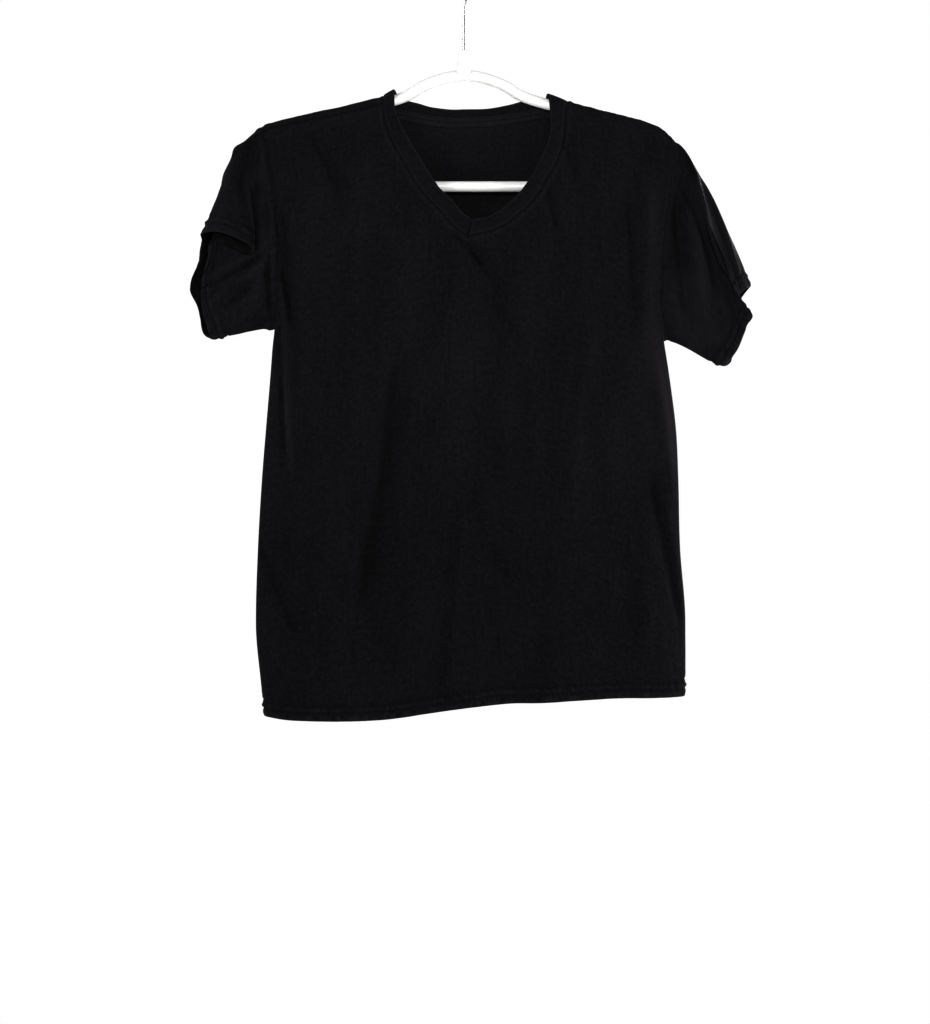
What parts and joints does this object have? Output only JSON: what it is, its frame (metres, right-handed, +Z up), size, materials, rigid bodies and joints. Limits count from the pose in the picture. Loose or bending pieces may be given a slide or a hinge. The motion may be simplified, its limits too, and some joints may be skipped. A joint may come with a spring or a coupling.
{
  "type": "v-neck t-shirt on a tubular clothes hanger",
  "caption": "Short-sleeved v-neck t-shirt in thin black jersey, hanging open at neck, sleeves and hem on a white tubular plastic hanger with a steel hook.",
  "frame": {"origin": "the point at the inside top of the hanger's hook where a closet rod touches it", "axes": "+Z up; +X to the right as seen from the front; the front of the shirt faces -Y and the hanger lies in the XZ plane"},
  "size_m": [0.5964, 0.0842, 0.8049],
  "materials": {
    "jersey": "worn black cotton jersey",
    "rib": "fine black rib knit",
    "tape": "black ribbed neck tape",
    "hanger_plastic": "white moulded plastic",
    "hook_steel": "plated steel wire"
  },
  "bodies": {
    "root": {"front_panel": "jersey", "back_panel": "jersey", "sleeve_left": "jersey", "sleeve_right": "jersey", "neck_rib": "rib", "back_neck_tape": "tape", "hanger": "hanger_plastic", "hanger_hook": "hook_steel"}
  },
  "joints": []
}
